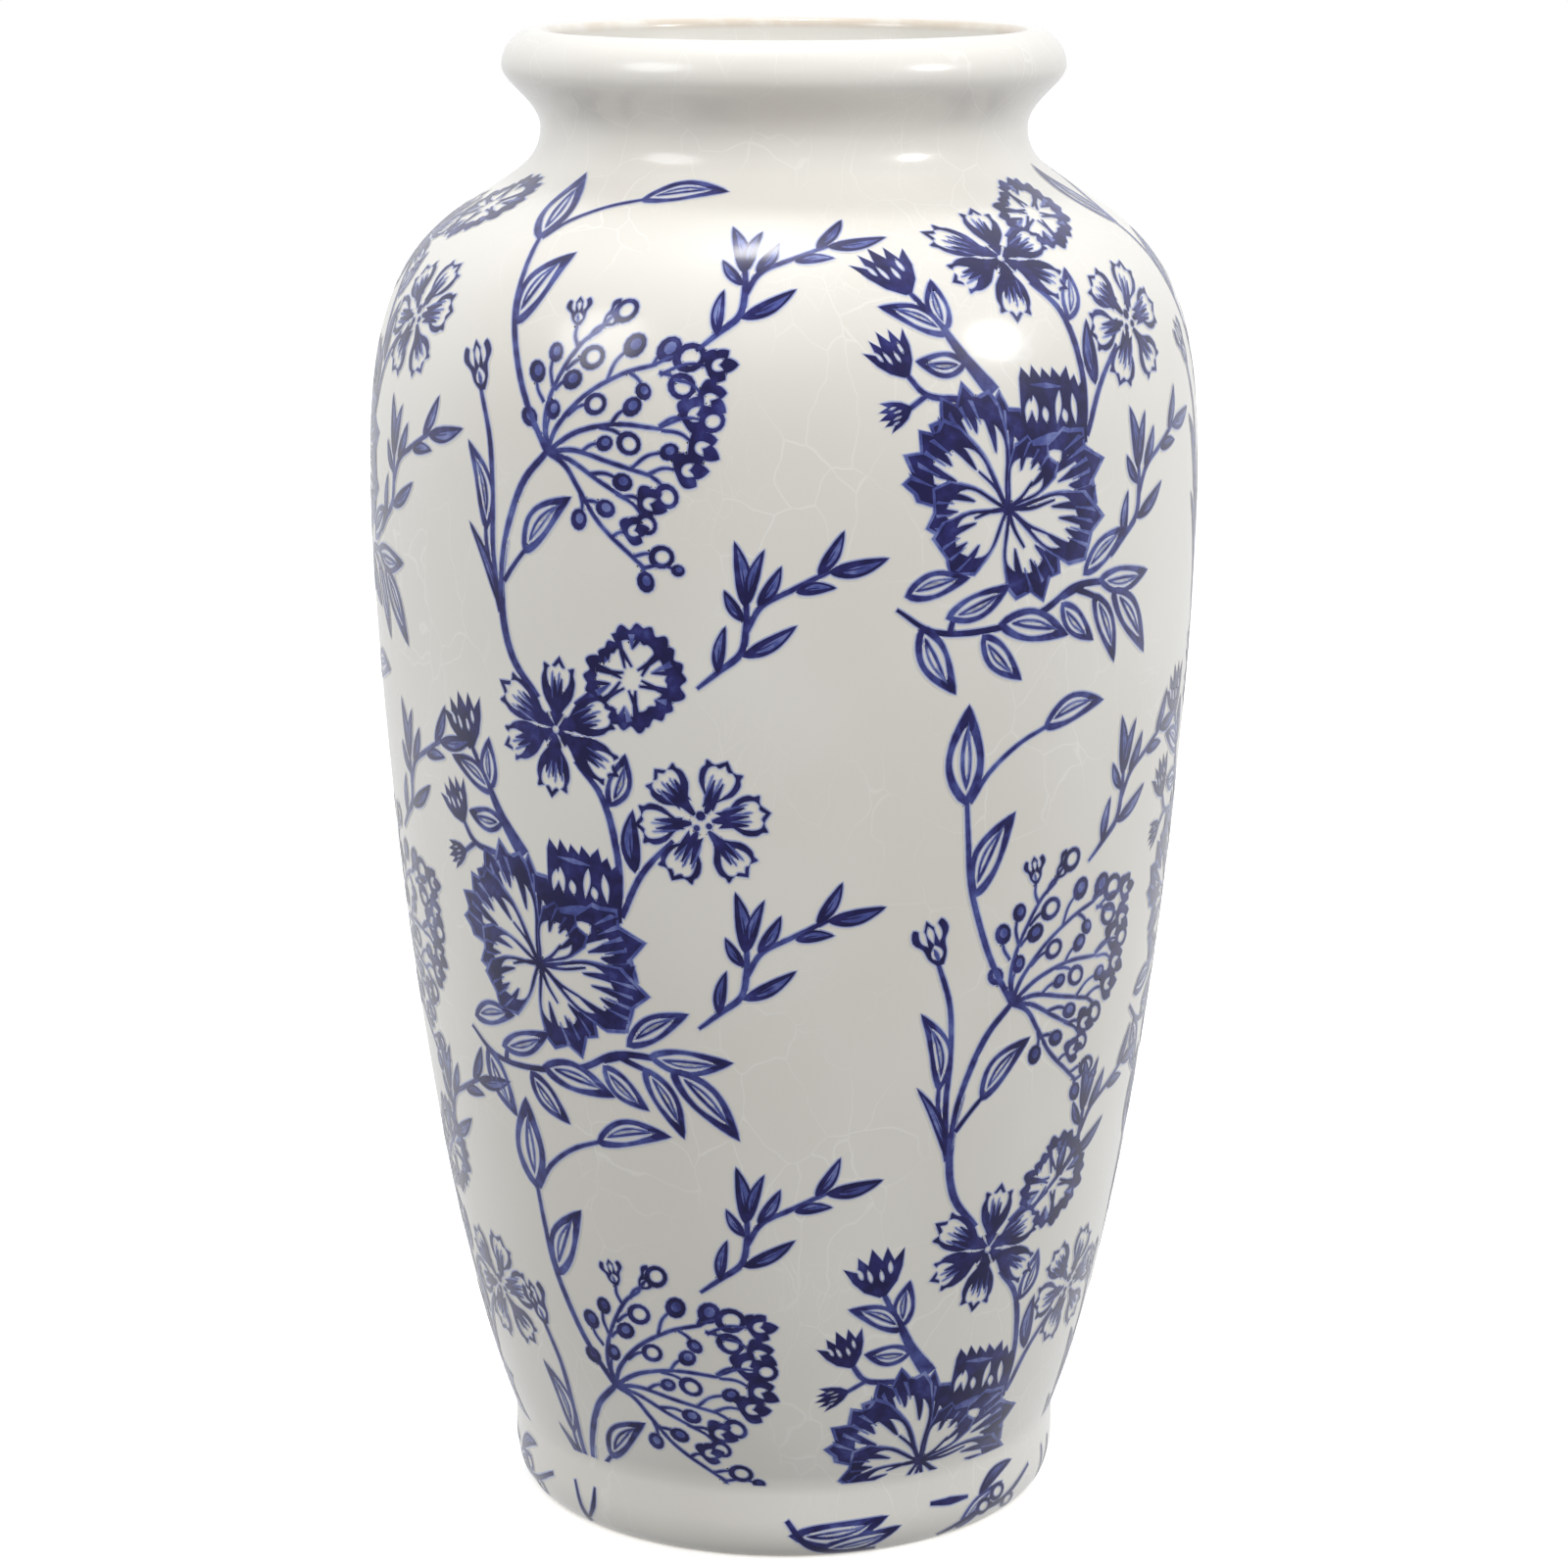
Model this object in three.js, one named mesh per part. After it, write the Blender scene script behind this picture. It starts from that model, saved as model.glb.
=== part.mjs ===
// A porcelain vase: a tapered body on a low foot, a high round shoulder, a short neck and a rolled rim.
// Millimetres, +Z up. The origin is the centre of the foot's resting face.
import * as THREE from 'three';

// Heights and radii of the outside, over the glaze.
const HEIGHT = 250;
const FOOT_RADIUS = 43.4; // outer edge of the face that the vase rests on
const FOOT_BAND_RADIUS = 47.1;
const FOOT_BAND_MIDDLE = 7.5; // height where the foot band bulges most
const FOOT_BAND_TOP = 13.5; // height of the pinch between the foot band and the body
const BELLY_RADIUS = 69.2;
const BELLY_HEIGHT = 174.4;
const SHOULDER_RADIUS = 53.2; // where the shoulder turns from round to hollow
const SHOULDER_HEIGHT = 221.1;
const NECK_RADIUS = 40.2;
const NECK_HEIGHT = 234.2;
const ROLL_RADIUS = 5.85; // the rolled rim's own radius
const ROLL_CENTRE_RADIUS = 40.6;

// Directions in degrees from level, and the reach of each curve's handles.
const BODY_RISE = 68.6;
const SHOULDER_SLOPE = 146.4;
const REACH = {
  body: 40.7, underBelly: 33.2, overBelly: 26.8, shoulder: 14.8,
  hollow: 10.2, neck: 5.9, rim: 4.2, roll: 2.8,
};

// Thicknesses and the hidden inside.
const WALL = 4.6;
const GLAZE = 0.4;
const BOND = 0.05; // clearance that keeps each glaze coat's solid off the biscuit
const CREST_JOIN = 0.3; // clearance between the two coats along the crest of the rim
const FLOOR_TOP = 13; // height of the inside floor at its middle
const FLOOR_REACH = 30;
const FLOOR_START = 0.12; // share of the body's curve where the wall turns into the floor
const LIP_RADIUS = 1.6; // the mouth's inner edge
const FOOT_RING_WIDTH = 6.4;
const FOOT_RECESS = 5; // depth of the hollow under the foot
const RECESS_CORNER = 2;
const BARE_EDGE = -72; // degrees round the foot's lower edge where the outside glaze stops
const BARE_RING_HEIGHT = 1.5; // height where the glaze inside the foot ring stops

// Steps along each curve, and round the vase.
const STEPS = {
  edge: 3, band: 2, body: 8, shoulder: 5, hollow: 4,
  rim: 3, roll: 4, lip: 3, throat: 2, floor: 4,
};
const SEGMENTS = 40;

const point = (radius, height) => new THREE.Vector2(radius, height);
const direction = (degrees) => {
  const angle = THREE.MathUtils.degToRad(degrees);
  return point(Math.cos(angle), Math.sin(angle));
};
const along = (start, heading, reach) => start.clone().addScaledVector(heading, reach);
const arc = (centre, radiusX, radiusY, from, to) => new THREE.EllipseCurve(
  centre.x, centre.y, radiusX, radiusY,
  THREE.MathUtils.degToRad(from), THREE.MathUtils.degToRad(to), to < from,
);

// The outside, as curves that each run upward.
const UP = direction(90);
const DOWN = direction(270);
const bandMiddle = point(FOOT_BAND_RADIUS, FOOT_BAND_MIDDLE);
const bandTop = point(FOOT_BAND_RADIUS, FOOT_BAND_TOP);
const belly = point(BELLY_RADIUS, BELLY_HEIGHT);
const shoulder = point(SHOULDER_RADIUS, SHOULDER_HEIGHT);
const neck = point(NECK_RADIUS, NECK_HEIGHT);
const rollCentre = point(ROLL_CENTRE_RADIUS, HEIGHT - ROLL_RADIUS);
const rollSide = point(ROLL_CENTRE_RADIUS + ROLL_RADIUS, rollCentre.y);
const slope = direction(SHOULDER_SLOPE);

const footEdge = arc(
  point(FOOT_RADIUS, FOOT_BAND_MIDDLE), FOOT_BAND_RADIUS - FOOT_RADIUS, FOOT_BAND_MIDDLE, BARE_EDGE, 0,
);
const footBand = new THREE.LineCurve(bandMiddle, bandTop);
const bodyCurve = new THREE.CubicBezierCurve(
  bandTop, along(bandTop, direction(BODY_RISE), REACH.body), along(belly, DOWN, REACH.underBelly), belly,
);
const shoulderCurve = new THREE.CubicBezierCurve(
  belly, along(belly, UP, REACH.overBelly), along(shoulder, slope, -REACH.shoulder), shoulder,
);
const hollowCurve = new THREE.CubicBezierCurve(
  shoulder, along(shoulder, slope, REACH.hollow), along(neck, DOWN, REACH.neck), neck,
);
const rimCurve = new THREE.CubicBezierCurve(
  neck, along(neck, UP, REACH.rim), along(rollSide, DOWN, REACH.roll), rollSide,
);
const rollCurve = arc(rollCentre, ROLL_RADIUS, ROLL_RADIUS, 0, 90);

// The points of a list of [curve, steps] pairs that follow on from each other.
const trace = (...parts) => parts.flatMap(([curve, steps], index) => {
  const points = curve.getPoints(steps);
  return index === 0 ? points : points.slice(1);
});

// Points on the wall's inner side, opposite a stretch of an outside curve, from its end back down.
function innerWall(curve, steps, lowest = 0) {
  const points = [];
  for (let step = steps; step >= 0; step -= 1) {
    const share = lowest + (1 - lowest) * (step / steps);
    const tangent = curve.getTangent(share);
    points.push(curve.getPoint(share).addScaledVector(point(-tangent.y, tangent.x), WALL));
  }
  return points;
}

// A copy of a line of points, moved to its left by a distance, square to the line at each point.
// A point on the axis stays on it.
function inset(points, distance) {
  return points.map((here, index) => {
    const before = points[Math.max(index - 1, 0)];
    const after = points[Math.min(index + 1, points.length - 1)];
    const heading = after.clone().sub(before).normalize();
    const moved = here.clone().addScaledVector(point(-heading.y, heading.x), distance);
    return here.x === 0 ? point(0, here.y + Math.sign(heading.x) * distance) : moved;
  });
}

// The inside, from the crest of the rim down to the middle of the floor.
const lipCurve = arc(point(ROLL_CENTRE_RADIUS, HEIGHT - LIP_RADIUS), LIP_RADIUS, LIP_RADIUS, 90, 180);
const lipEnd = point(ROLL_CENTRE_RADIUS - LIP_RADIUS, HEIGHT - LIP_RADIUS);
const throat = point(NECK_RADIUS - WALL, NECK_HEIGHT);
const throatCurve = new THREE.CubicBezierCurve(
  lipEnd, along(lipEnd, DOWN, REACH.rim), along(throat, UP, REACH.rim), throat,
);
const lowerWall = innerWall(bodyCurve, STEPS.body, FLOOR_START);
const wallEnd = lowerWall[lowerWall.length - 1];
const wallDown = bodyCurve.getTangent(FLOOR_START).negate();
const floorMiddle = point(0, FLOOR_TOP);
const floorCurve = new THREE.CubicBezierCurve(
  wallEnd, along(wallEnd, wallDown, WALL), point(FLOOR_REACH, FLOOR_TOP), floorMiddle,
);

const outside = trace(
  [footEdge, STEPS.edge], [footBand, STEPS.band], [bodyCurve, STEPS.body], [shoulderCurve, STEPS.shoulder],
  [hollowCurve, STEPS.hollow], [rimCurve, STEPS.rim], [rollCurve, STEPS.roll],
);
const inside = [
  point(ROLL_CENTRE_RADIUS - CREST_JOIN, HEIGHT),
  ...trace([lipCurve, STEPS.lip], [throatCurve, STEPS.throat]).slice(1),
  ...innerWall(hollowCurve, STEPS.hollow).slice(1),
  ...innerWall(shoulderCurve, STEPS.shoulder).slice(1),
  ...lowerWall.slice(1),
  ...floorCurve.getPoints(STEPS.floor).slice(1),
];

// The glazed surface runs up the outside, over the rim and down the inside; the biscuit lies under it.
const glazed = [...outside, ...inside];
const glazeBack = inset(glazed, GLAZE);
const biscuit = inset(glazed, GLAZE + BOND);

// The hollow under the foot, from its middle out to the foot ring.
const ringInner = FOOT_RADIUS - FOOT_RING_WIDTH;
const recessGlazed = [
  point(0, FOOT_RECESS),
  point(ringInner - RECESS_CORNER, FOOT_RECESS),
  point(ringInner, FOOT_RECESS - RECESS_CORNER),
  point(ringInner, BARE_RING_HEIGHT),
];
const recessBack = inset(recessGlazed, GLAZE);
const recessBiscuit = inset(recessGlazed, GLAZE + BOND);

const footLine = arc(
  point(FOOT_RADIUS, FOOT_BAND_MIDDLE), FOOT_BAND_RADIUS - FOOT_RADIUS, FOOT_BAND_MIDDLE, -90, BARE_EDGE,
);

const bodyProfile = [
  ...recessBiscuit,
  point(ringInner, BARE_RING_HEIGHT - BOND),
  point(ringInner, 0),
  ...footLine.getPoints(2),
  ...biscuit,
];
const outerFront = outside;
const outerBack = glazeBack.slice(0, outside.length);
const outerGlazeProfile = [...outerFront, ...outerBack.reverse(), outerFront[0]];
const innerBack = glazeBack.slice(outside.length);
const innerGlazeProfile = [...innerBack.reverse(), ...inside];
const baseGlazeProfile = [...recessGlazed, ...recessBack.reverse()];

const biscuitMaterial = new THREE.MeshStandardMaterial({ color: 0xd9cdb8, roughness: 0.8, metalness: 0 });
const glazeMaterial = new THREE.MeshStandardMaterial({ color: 0xe6e2da, roughness: 0.12, metalness: 0 });

function turned(name, profile, material) {
  const geometry = new THREE.LatheGeometry(profile, SEGMENTS);
  geometry.rotateX(Math.PI / 2);
  const mesh = new THREE.Mesh(geometry, material);
  mesh.name = name;
  return mesh;
}

const vase = new THREE.Group();
vase.add(turned('porcelain_body', bodyProfile, biscuitMaterial));
vase.add(turned('outer_glaze', outerGlazeProfile, glazeMaterial));
vase.add(turned('inner_glaze', innerGlazeProfile, glazeMaterial));
vase.add(turned('base_glaze', baseGlazeProfile, glazeMaterial));

export default vase;
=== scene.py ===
"""A blue and white porcelain vase: a turned, glazed body with a transfer print of garlands and sprigs.

Metres, +Z up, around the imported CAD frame. The outline and the print are laid out in millimetres of a
vase 250 mm high, and scaled to the frame by MM.
"""
import math

import bpy
import numpy as np
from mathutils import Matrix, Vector
from mathutils.geometry import delaunay_2d_cdt


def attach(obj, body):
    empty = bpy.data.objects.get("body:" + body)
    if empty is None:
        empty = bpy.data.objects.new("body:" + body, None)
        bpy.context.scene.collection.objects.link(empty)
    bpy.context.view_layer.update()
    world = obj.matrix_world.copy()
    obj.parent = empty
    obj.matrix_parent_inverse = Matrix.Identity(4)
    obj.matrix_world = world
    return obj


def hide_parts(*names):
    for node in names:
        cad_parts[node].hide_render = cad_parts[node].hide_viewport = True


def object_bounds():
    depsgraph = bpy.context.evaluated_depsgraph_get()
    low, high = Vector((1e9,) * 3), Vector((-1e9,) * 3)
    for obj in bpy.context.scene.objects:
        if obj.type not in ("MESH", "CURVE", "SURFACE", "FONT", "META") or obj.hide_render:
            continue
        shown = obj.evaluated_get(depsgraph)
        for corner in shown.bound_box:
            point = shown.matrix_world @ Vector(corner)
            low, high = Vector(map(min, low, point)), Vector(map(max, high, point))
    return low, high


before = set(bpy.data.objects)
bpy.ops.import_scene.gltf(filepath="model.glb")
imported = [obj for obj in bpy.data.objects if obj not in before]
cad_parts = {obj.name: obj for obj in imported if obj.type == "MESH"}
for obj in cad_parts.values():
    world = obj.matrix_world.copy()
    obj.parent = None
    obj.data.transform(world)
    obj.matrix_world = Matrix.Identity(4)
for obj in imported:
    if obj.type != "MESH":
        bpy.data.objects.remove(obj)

CAD_LOW, CAD_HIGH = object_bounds()
DRAWN_HEIGHT = 250.0
MM = CAD_HIGH.z / DRAWN_HEIGHT

# The outline, in millimetres.
FOOT_RADIUS, FOOT_BAND_RADIUS = 43.4, 47.1
FOOT_BAND_MIDDLE, FOOT_BAND_TOP = 7.5, 13.5
BELLY_RADIUS, BELLY_HEIGHT = CAD_HIGH.x / MM, 174.4
SHOULDER_RADIUS, SHOULDER_HEIGHT, SHOULDER_SLOPE = 53.2, 221.1, 146.4
NECK_RADIUS, NECK_HEIGHT = 40.2, 234.2
ROLL_RADIUS, ROLL_CENTRE_RADIUS = 5.85, 40.6
BODY_RISE = 68.6
REACH = {
    "body": 40.7, "under_belly": 33.2, "over_belly": 26.8, "shoulder": 14.8,
    "hollow": 10.2, "neck": 5.9, "rim": 4.2, "roll": 2.8,
}
WALL, GLAZE, BOND = 4.6, 0.4, 0.05
FLOOR_TOP, FLOOR_REACH, FLOOR_START = 13.0, 30.0, 0.12
LIP_RADIUS = 1.6
FOOT_RING_WIDTH, FOOT_RECESS, RECESS_CORNER = 6.4, 5.0, 2.0
BARE_EDGE, BARE_RING_HEIGHT = -72.0, 1.5
SEGMENTS = 256
LIP_LINE_RADIUS = 39.4

# Tones of the print, from bare glaze to full ink.
BARE, BLEED, WASH, LINE, INK = 0.0, 0.4, 0.66, 0.84, 1.0


# ---------------------------------------------------------------- outline

def heading(degrees):
    return np.array([math.cos(math.radians(degrees)), math.sin(math.radians(degrees))])


UP, DOWN = heading(90), heading(270)


def bezier(start, leave, arrive, end, steps):
    t = np.linspace(0, 1, steps + 1)[:, None]
    u = 1 - t
    return u**3 * start + 3 * u * u * t * leave + 3 * u * t * t * arrive + t**3 * end


def arc(centre, across, upward, start, stop, steps):
    angle = np.radians(np.linspace(start, stop, steps + 1))
    return np.stack([centre[0] + across * np.cos(angle), centre[1] + upward * np.sin(angle)], 1)


def joined(*lines):
    return np.concatenate([lines[0]] + [line[1:] for line in lines[1:]])


def left_of(points):
    """Unit directions to the left of a line at each of its points."""
    along = np.gradient(points, axis=0)
    along /= np.linalg.norm(along, axis=1)[:, None]
    return np.stack([-along[:, 1], along[:, 0]], 1)


def inset(points, distance):
    moved = points + left_of(points) * distance
    on_axis = points[:, 0] < 1e-6
    moved[on_axis, 0] = 0
    return moved


def outside_curves():
    """The outside from the foot's lower edge to the rim's crest, each stretch running upward."""
    edge_centre = np.array([FOOT_RADIUS, FOOT_BAND_MIDDLE])
    band_bulge = FOOT_BAND_RADIUS - FOOT_RADIUS
    band_top = np.array([FOOT_BAND_RADIUS, FOOT_BAND_TOP])
    belly = np.array([BELLY_RADIUS, BELLY_HEIGHT])
    shoulder = np.array([SHOULDER_RADIUS, SHOULDER_HEIGHT])
    neck = np.array([NECK_RADIUS, NECK_HEIGHT])
    roll = np.array([ROLL_CENTRE_RADIUS, DRAWN_HEIGHT - ROLL_RADIUS])
    roll_side = roll + [ROLL_RADIUS, 0]
    slope = heading(SHOULDER_SLOPE)
    return {
        "bare": arc(edge_centre, band_bulge, FOOT_BAND_MIDDLE, -90, BARE_EDGE, 4),
        "edge": arc(edge_centre, band_bulge, FOOT_BAND_MIDDLE, BARE_EDGE, 0, 12),
        "band": np.linspace([FOOT_BAND_RADIUS, FOOT_BAND_MIDDLE], band_top, 5),
        "body": bezier(
            band_top, band_top + heading(BODY_RISE) * REACH["body"],
            belly + DOWN * REACH["under_belly"], belly, 48),
        "shoulder": bezier(
            belly, belly + UP * REACH["over_belly"], shoulder - slope * REACH["shoulder"], shoulder, 28),
        "hollow": bezier(
            shoulder, shoulder + slope * REACH["hollow"], neck + DOWN * REACH["neck"], neck, 20),
        "rim": bezier(neck, neck + UP * REACH["rim"], roll_side + DOWN * REACH["roll"], roll_side, 14),
        "roll": arc(roll, ROLL_RADIUS, ROLL_RADIUS, 0, 90, 16),
    }


def inside_line(curves):
    """The inside from the rim's crest down to the middle of the floor."""
    lip = arc([ROLL_CENTRE_RADIUS, DRAWN_HEIGHT - LIP_RADIUS], LIP_RADIUS, LIP_RADIUS, 90, 180, 8)
    throat = np.array([NECK_RADIUS - WALL, NECK_HEIGHT])
    mouth = bezier(lip[-1], lip[-1] + DOWN * REACH["rim"], throat + UP * REACH["rim"], throat, 10)
    body = curves["body"]
    first = int(FLOOR_START * len(body))
    wall = inset(joined(body[first:], curves["shoulder"], curves["hollow"]), WALL)[::-1]
    down = (wall[-1] - wall[-2]) / np.linalg.norm(wall[-1] - wall[-2])
    floor_edge, floor_middle = np.array([FLOOR_REACH, FLOOR_TOP]), np.array([0.0, FLOOR_TOP])
    floor = bezier(wall[-1], wall[-1] + down * WALL, floor_edge, floor_middle, 16)
    wall[0] = throat
    return joined(lip, mouth, wall, floor)


CURVES = outside_curves()
OUTSIDE = joined(*[CURVES[part] for part in ("edge", "band", "body", "shoulder", "hollow", "rim", "roll")])
INSIDE = inside_line(CURVES)
PRINTED = joined(*[CURVES[part] for part in ("bare", "edge", "band", "body", "shoulder", "hollow", "rim")])
PRINTED_NORMAL = -left_of(PRINTED)
PRINTED_RISE = np.concatenate([[0], np.cumsum(np.linalg.norm(np.diff(PRINTED, axis=0), axis=1))])


# ---------------------------------------------------------------- meshes

def add_object(name, vertices, faces):
    mesh = bpy.data.meshes.new(name)
    mesh.from_pydata([tuple(v) for v in vertices], [], faces)
    mesh.shade_smooth()
    piece = bpy.data.objects.new(name, mesh)
    bpy.context.scene.collection.objects.link(piece)
    return piece


def turned(name, profile):
    """A closed solid turned from a profile that closes on itself, or starts and ends on the axis."""
    closed = profile[0][0] > 1e-6
    vertices, rings = [], []
    for radius, height in profile:
        if radius < 1e-6:
            rings.append([len(vertices)] * SEGMENTS)
            vertices.append((0, 0, height * MM))
            continue
        rings.append(list(range(len(vertices), len(vertices) + SEGMENTS)))
        for step in range(SEGMENTS):
            angle = 2 * math.pi * step / SEGMENTS
            vertices.append((radius * MM * math.cos(angle), radius * MM * math.sin(angle), height * MM))
    if closed:
        rings.append(rings[0])
    faces = []
    for low, high in zip(rings, rings[1:]):
        for step in range(SEGMENTS):
            after = (step + 1) % SEGMENTS
            corners = [low[step], low[after], high[after], high[step]]
            faces.append(list(dict.fromkeys(corners)))
    piece = add_object(name, vertices, faces)
    piece.data.set_sharp_from_angle(angle=math.radians(40))
    return piece


def build_body(materials):
    ring_inner = FOOT_RADIUS - FOOT_RING_WIDTH
    recess = np.array([
        [0, FOOT_RECESS], [ring_inner - RECESS_CORNER, FOOT_RECESS],
        [ring_inner, FOOT_RECESS - RECESS_CORNER], [ring_inner, BARE_RING_HEIGHT],
    ], float)
    glazed = joined(OUTSIDE, INSIDE)
    back = inset(glazed, GLAZE)
    biscuit = inset(glazed, GLAZE + BOND)
    crest = len(OUTSIDE)
    profiles = {
        "glazed_outside": (np.concatenate([OUTSIDE, back[:crest:4][::-1]]), "outer_glaze", "printed_glaze"),
        "glazed_inside": (np.concatenate([back[crest - 1:][::-1], INSIDE]), "inner_glaze", "plain_glaze"),
        "glazed_base": (np.concatenate([recess, inset(recess, GLAZE)[::-1]]), "base_glaze", "plain_glaze"),
        "biscuit_body": (
            np.concatenate([
                inset(recess, GLAZE + BOND), [[ring_inner, BARE_RING_HEIGHT - BOND], [ring_inner, 0.0]],
                CURVES["bare"], biscuit[::2], biscuit[-1:],
            ]), "porcelain_body", "biscuit"),
    }
    for name, (profile, node, slot) in profiles.items():
        piece = turned(name, profile)
        piece.data.materials.append(materials["biscuit" if slot == "biscuit" else "glaze"])
        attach(piece, "root")
        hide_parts(node)


# ---------------------------------------------------------------- materials

# The Mix node has sockets of the same name for each kind of value, so its colour sockets go by number.
FIRST_COLOUR, SECOND_COLOUR, MIXED_COLOUR = 6, 7, 2


class Nodes:
    """A short way to wire up one material's nodes."""

    def __init__(self, name):
        self.material = bpy.data.materials.new(name)
        self.material.use_nodes = True
        self.tree = self.material.node_tree
        self.shader = self.tree.nodes["Principled BSDF"]
        self.place = self.add("ShaderNodeTexCoord").outputs["Object"]

    def add(self, kind, settings=None, **inputs):
        node = self.tree.nodes.new(kind)
        for name, value in (settings or {}).items():
            setattr(node, name, value)
        for name, value in inputs.items():
            self.set(node.inputs[name.replace("_", " ")], value)
        return node

    def set(self, socket, value):
        if isinstance(value, bpy.types.NodeSocket):
            self.tree.links.new(value, socket)
        else:
            socket.default_value = value

    def math(self, operation, first, second=0.0, clamp=False):
        node = self.tree.nodes.new("ShaderNodeMath")
        node.operation = operation
        node.use_clamp = clamp
        self.set(node.inputs[0], first)
        self.set(node.inputs[1], second)
        return node.outputs[0]

    def noise(self, scale, detail=2.0, roughness=0.5):
        return self.add(
            "ShaderNodeTexNoise", Vector=self.place, Scale=scale, Detail=detail, Roughness=roughness)

    def band(self, value, low, high):
        """0 below low, 1 above high."""
        node = self.add("ShaderNodeMapRange", {"interpolation_type": "SMOOTHSTEP"}, Value=value)
        self.set(node.inputs["From Min"], low)
        self.set(node.inputs["From Max"], high)
        return node.outputs["Result"]

    def mix(self, share, first, second):
        node = self.tree.nodes.new("ShaderNodeMix")
        node.data_type = "RGBA"
        self.set(node.inputs["Factor"], share)
        self.set(node.inputs[FIRST_COLOUR], first)
        self.set(node.inputs[SECOND_COLOUR], second)
        return node.outputs[MIXED_COLOUR]

    def ramp(self, value, stops):
        node = self.add("ShaderNodeValToRGB", Fac=value)
        node.color_ramp.elements[0].position = stops[0][0]
        node.color_ramp.elements[0].color = stops[0][1]
        node.color_ramp.elements[1].position = stops[-1][0]
        node.color_ramp.elements[1].color = stops[-1][1]
        for position, colour in stops[1:-1]:
            node.color_ramp.elements.new(position).color = colour
        return node.outputs["Color"]


def rgb(red, green, blue):
    """A colour given as 8-bit screen values, in the linear values that a shader takes."""
    values = [channel / 255 for channel in (red, green, blue)]
    return tuple(v / 12.92 if v <= 0.04045 else ((v + 0.055) / 1.055) ** 2.4 for v in values) + (1.0,)


CRAZE_BEND = 0.012  # metres that the noise moves a craze line
CRAZE_STRETCH = (1.0, 1.0, 0.6)  # below 1 upward, so that the cells stand taller than they are wide


def craze_lines(nodes, scale, width):
    """1 on the thin lines between irregular upright cells, bent so that none runs straight."""
    bend = nodes.add("ShaderNodeVectorMath", {"operation": "SCALE"}, Scale=CRAZE_BEND)
    nodes.set(bend.inputs[0], nodes.noise(45, 3).outputs["Color"])
    moved = nodes.add("ShaderNodeVectorMath", {"operation": "MULTIPLY_ADD"})
    nodes.set(moved.inputs[0], nodes.place)
    moved.inputs[1].default_value = CRAZE_STRETCH
    nodes.set(moved.inputs[2], bend.outputs[0])
    cells = nodes.add(
        "ShaderNodeTexVoronoi", {"feature": "DISTANCE_TO_EDGE"}, Vector=moved.outputs[0], Scale=scale)
    return nodes.math("SUBTRACT", 1.0, nodes.band(cells.outputs["Distance"], 0.0, width))


WEAR_STRENGTH = 0.4


def worn_edges(nodes):
    """1 where the glaze runs thin and shows tan: along the inner lip and the lowest edge of the foot."""
    parts = nodes.add("ShaderNodeSeparateXYZ")
    nodes.set(parts.inputs[0], nodes.place)
    across = nodes.math(
        "ADD", nodes.math("POWER", parts.outputs["X"], 2), nodes.math("POWER", parts.outputs["Y"], 2))
    past_lip = nodes.math("SUBTRACT", nodes.math("SQRT", across), LIP_LINE_RADIUS * MM)
    off_lip = nodes.math("ABSOLUTE", past_lip)
    near_lip = nodes.math("SUBTRACT", 1.0, nodes.band(off_lip, 0.2 * MM, 0.9 * MM))
    high = nodes.band(parts.outputs["Z"], (DRAWN_HEIGHT - 2.2) * MM, (DRAWN_HEIGHT - 1.2) * MM)
    low = nodes.math("SUBTRACT", 1.0, nodes.band(parts.outputs["Z"], 0.5 * MM, 1.3 * MM))
    broken = nodes.band(nodes.noise(90, 3).outputs["Fac"], 0.35, 0.6)
    worn = nodes.math("MAXIMUM", nodes.math("MULTIPLY", near_lip, high), low)
    return nodes.math("MULTIPLY", nodes.math("MULTIPLY", worn, broken), WEAR_STRENGTH)


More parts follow.
